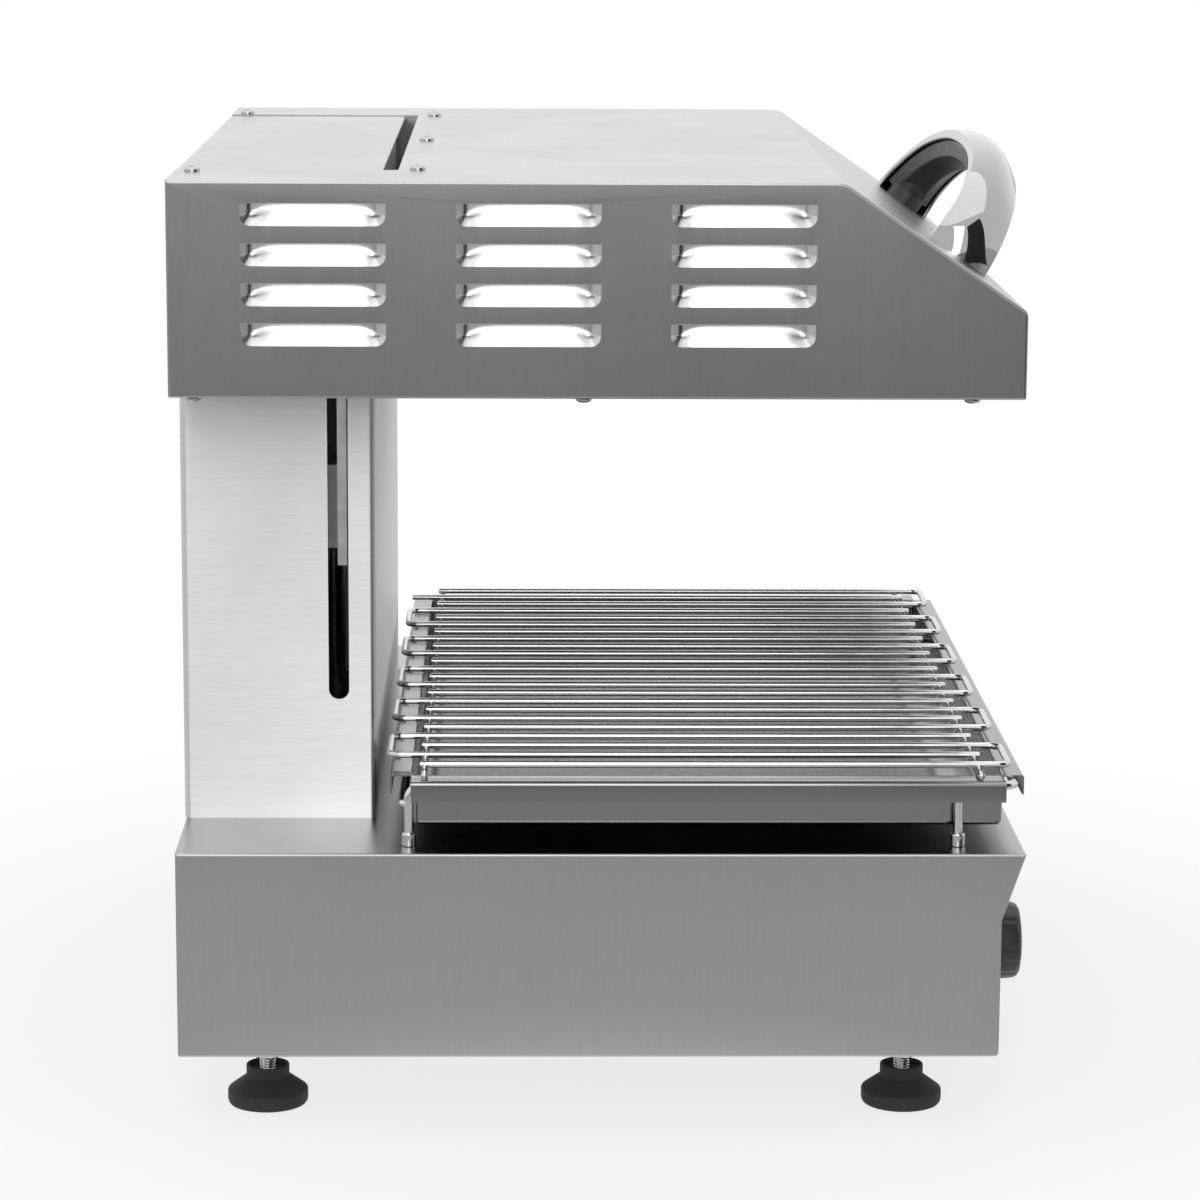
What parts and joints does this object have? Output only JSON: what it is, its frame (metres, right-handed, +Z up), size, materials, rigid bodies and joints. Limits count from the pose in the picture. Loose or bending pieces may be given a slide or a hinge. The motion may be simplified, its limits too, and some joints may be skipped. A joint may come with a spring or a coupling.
{
  "type": "salamander grill",
  "caption": "Electric rise-and-fall salamander grill: louvred hood that slides down a rear column over a wire grid, drip tray and base with control knobs.",
  "frame": {"origin": "on the floor, under the middle of the outline, with the hood raised", "axes": "+Z up; -Y is the front, where the knobs and the handle are; +X is to the right of a person who stands at the front and faces the grill"},
  "size_m": [0.6, 0.5184, 0.5562],
  "materials": {
    "brushed_steel": "brushed stainless sheet",
    "plain_steel": "mill finish",
    "ground_steel": "ground, bright",
    "bright_wire": "bright drawn and plated wire",
    "rope_steel": "stranded wire",
    "painted_iron": "satin black paint",
    "cast_aluminium": "machined casting",
    "cast_iron": "primed",
    "bronze": "sintered bronze",
    "black_plastic": "moulded, satin",
    "chromed_shell": "metallised moulding",
    "rubber": "matt",
    "element_sheath": "heat-darkened",
    "ceramic_fibre": "matt fibre blanket",
    "pale_plastic": "moulded",
    "lamp_amber": "translucent lens",
    "wire_sleeve": "braided sleeve"
  },
  "bodies": {
    "root": {"base_wrap": "brushed_steel", "control_panel": "brushed_steel", "base_rear_panel": "brushed_steel", "base_bottom_plate": "plain_steel", "foot_sockets": "ground_steel", "column_casing": "brushed_steel", "column_cap": "brushed_steel", "column_crossbeam": "plain_steel", "guide_rods": "ground_steel", "rod_brackets": "painted_iron", "stop_sleeves": "rubber", "pulley_brackets": "plain_steel", "pulley_axles": "ground_steel", "rope_wraps": "rope_steel", "energy_regulators": "pale_plastic", "pilot_lamps": "lamp_amber", "cable_gland": "black_plastic", "gland_nut": "black_plastic", "terminal_block": "pale_plastic", "wiring_loom": "wire_sleeve", "frame_screws": "ground_steel"},
    "hood": {"hood_shell": "brushed_steel", "hood_side_left": "brushed_steel", "hood_side_right": "brushed_steel", "hood_rear_panel": "brushed_steel", "reflector": "plain_steel", "insulation": "ceramic_fibre", "heating_elements": "element_sheath", "element_supports": "element_sheath", "hood_screws": "ground_steel", "handle_shell": "chromed_shell", "handle_liner": "black_plastic", "handle_posts": "black_plastic", "carriage_plate": "plain_steel", "carriage_arms": "plain_steel", "slide_blocks": "cast_aluminium", "slide_bushes": "bronze", "rope_lugs": "plain_steel", "rope_front_runs": "rope_steel"},
    "counterweight": {"counterweight": "cast_iron", "weight_eyes": "plain_steel", "rope_rear_runs": "rope_steel"},
    "pulley_left": {"pulley_left": "bronze"},
    "pulley_right": {"pulley_right": "bronze"},
    "knob_left": {"knob_left": "black_plastic"},
    "knob_right": {"knob_right": "black_plastic"},
    "foot_front_left": {"foot_front_left": "black_plastic", "stud_front_left": "ground_steel"},
    "foot_front_right": {"foot_front_right": "black_plastic", "stud_front_right": "ground_steel"},
    "foot_rear_left": {"foot_rear_left": "black_plastic", "stud_rear_left": "ground_steel"},
    "foot_rear_right": {"foot_rear_right": "black_plastic", "stud_rear_right": "ground_steel"},
    "tray_stand": {"tray_stand": "bright_wire", "stand_caps": "ground_steel"},
    "drip_tray": {"drip_tray": "brushed_steel"},
    "grill_grid": {"grill_grid": "bright_wire", "grid_cross_wires": "bright_wire"}
  },
  "joints": [
    {"name": "hood_lift", "type": "slide", "parent": "root", "child": "hood", "axis": [0, 0, 1], "range_m": [-0.175, 0], "deforming": ["rope_front_runs"]},
    {"name": "counterweight_lift", "type": "slide", "parent": "root", "child": "counterweight", "axis": [0, 0, 1], "range_m": [0, 0.175], "deforming": ["rope_rear_runs"]},
    {"name": "pulley_left_spin", "type": "hinge", "parent": "root", "child": "pulley_left", "pos_m": [-0.07, 0.1932, 0.509], "axis": [1, 0, 0], "range_deg": [0, 456]},
    {"name": "pulley_right_spin", "type": "hinge", "parent": "root", "child": "pulley_right", "pos_m": [0.07, 0.1932, 0.509], "axis": [1, 0, 0], "range_deg": [0, 456]},
    {"name": "knob_left_turn", "type": "hinge", "parent": "root", "child": "knob_left", "pos_m": [-0.195, -0.2333, 0.087], "axis": [0, 1, 0], "range_deg": [0, 300]},
    {"name": "knob_right_turn", "type": "hinge", "parent": "root", "child": "knob_right", "pos_m": [0.195, -0.2333, 0.087], "axis": [0, 1, 0], "range_deg": [0, 300]},
    {"name": "foot_front_left_adjust", "type": "slide", "parent": "root", "child": "foot_front_left", "axis": [0, 0, 1], "range_m": [-0.008, 0.012]},
    {"name": "foot_front_right_adjust", "type": "slide", "parent": "root", "child": "foot_front_right", "axis": [0, 0, 1], "range_m": [-0.008, 0.012]},
    {"name": "foot_rear_left_adjust", "type": "slide", "parent": "root", "child": "foot_rear_left", "axis": [0, 0, 1], "range_m": [-0.008, 0.012]},
    {"name": "foot_rear_right_adjust", "type": "slide", "parent": "root", "child": "foot_rear_right", "axis": [0, 0, 1], "range_m": [-0.008, 0.012]},
    {"name": "stand_slide", "type": "slide", "parent": "root", "child": "tray_stand", "axis": [0, -1, 0], "range_m": [0, 0.028]},
    {"name": "tray_lift", "type": "slide", "parent": "tray_stand", "child": "drip_tray", "axis": [0, 0, 1], "range_m": [0, 0.015]},
    {"name": "grid_lift", "type": "slide", "parent": "drip_tray", "child": "grill_grid", "axis": [0, 0, 1], "range_m": [0, 0.018]}
  ],
  "couplings": [
    {"joint": "counterweight_lift", "follows": "hood_lift", "ratio": -1},
    {"joint": "pulley_left_spin", "follows": "hood_lift", "rad_per_m": -45.455},
    {"joint": "pulley_right_spin", "follows": "hood_lift", "rad_per_m": -45.455}
  ]
}
